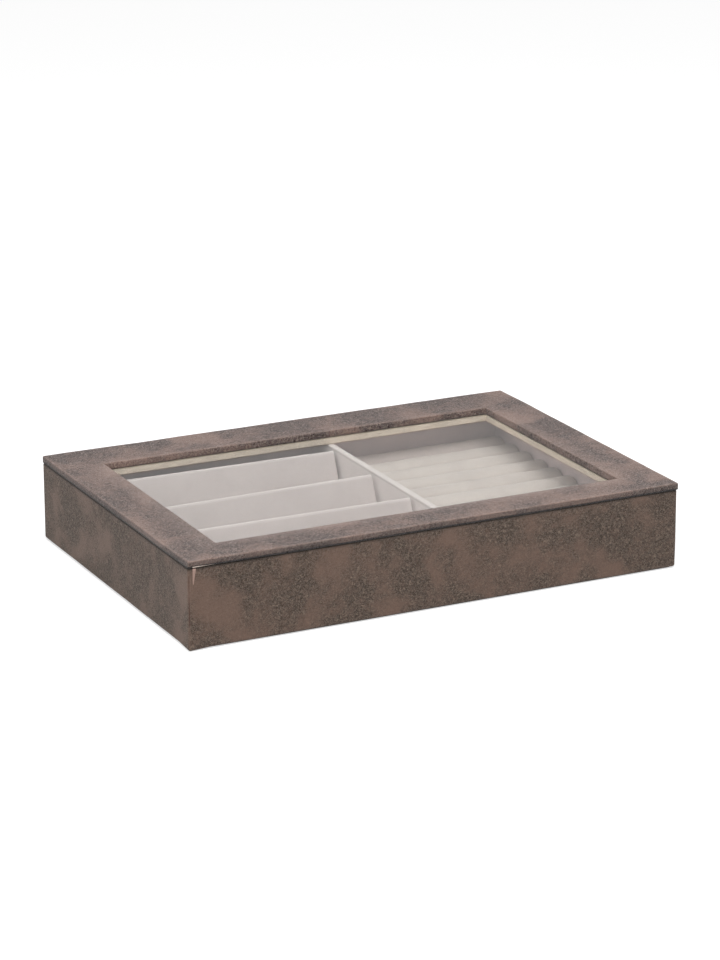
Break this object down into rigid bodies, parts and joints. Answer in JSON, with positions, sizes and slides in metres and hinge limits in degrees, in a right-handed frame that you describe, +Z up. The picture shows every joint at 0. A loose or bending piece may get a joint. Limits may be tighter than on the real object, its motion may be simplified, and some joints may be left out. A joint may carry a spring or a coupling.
{
  "type": "jewellery box",
  "caption": "Shallow rectangular jewellery box in brown faux suede, with a hinged window lid over velvet compartments and ring rolls.",
  "frame": {"origin": "middle of the underside of the base felt, on the surface that the box stands on", "axes": "+X along the length, to the right seen from the front; +Y to the back, where the hinges are; +Z up"},
  "size_m": [0.3058, 0.2152, 0.051],
  "materials": {
    "suede_wrap": "mottled, distressed brown faux suede, matt",
    "velvet": "pale grey-cream velvet, matt",
    "cream_velvet": "cream velvet, matt",
    "board": "raw fibreboard, hidden",
    "base_felt": "dark felt, matt",
    "window_glass": "clear, polished",
    "nickel": "nickel plated, satin"
  },
  "bodies": {
    "case": {"base_board": "board", "front_wall": "board", "back_wall": "board", "left_wall": "board", "right_wall": "board", "case_wrap": "suede_wrap", "base_felt": "base_felt", "floor_lining": "velvet", "front_lining": "velvet", "back_lining": "velvet", "left_lining": "velvet", "right_lining": "velvet", "centre_divider": "velvet", "front_partition": "velvet", "middle_partition": "velvet", "back_partition": "velvet", "hinge_case_leaf_left": "nickel", "hinge_case_leaf_right": "nickel", "hinge_pin_left": "nickel", "hinge_pin_right": "nickel", "case_hinge_screws": "nickel", "ring_roll_01": "cream_velvet", "ring_roll_02": "cream_velvet", "ring_roll_03": "cream_velvet", "ring_roll_04": "cream_velvet", "ring_roll_05": "cream_velvet", "ring_roll_06": "cream_velvet", "ring_roll_07": "cream_velvet", "ring_roll_08": "cream_velvet", "ring_roll_09": "cream_velvet", "ring_roll_10": "cream_velvet", "ring_roll_11": "cream_velvet"},
    "lid": {"lid_top_board": "board", "lid_spacer_board": "board", "lid_wrap": "suede_wrap", "lid_glass": "window_glass", "lid_liner": "cream_velvet", "hinge_lid_leaf_left": "nickel", "hinge_lid_leaf_right": "nickel", "lid_hinge_screws": "nickel"}
  },
  "joints": [
    {"name": "lid_hinge", "type": "hinge", "parent": "case", "child": "lid", "pos_m": [0, 0.1068, 0.04755], "axis": [-1, 0, 0], "range_deg": [0, 100]}
  ]
}
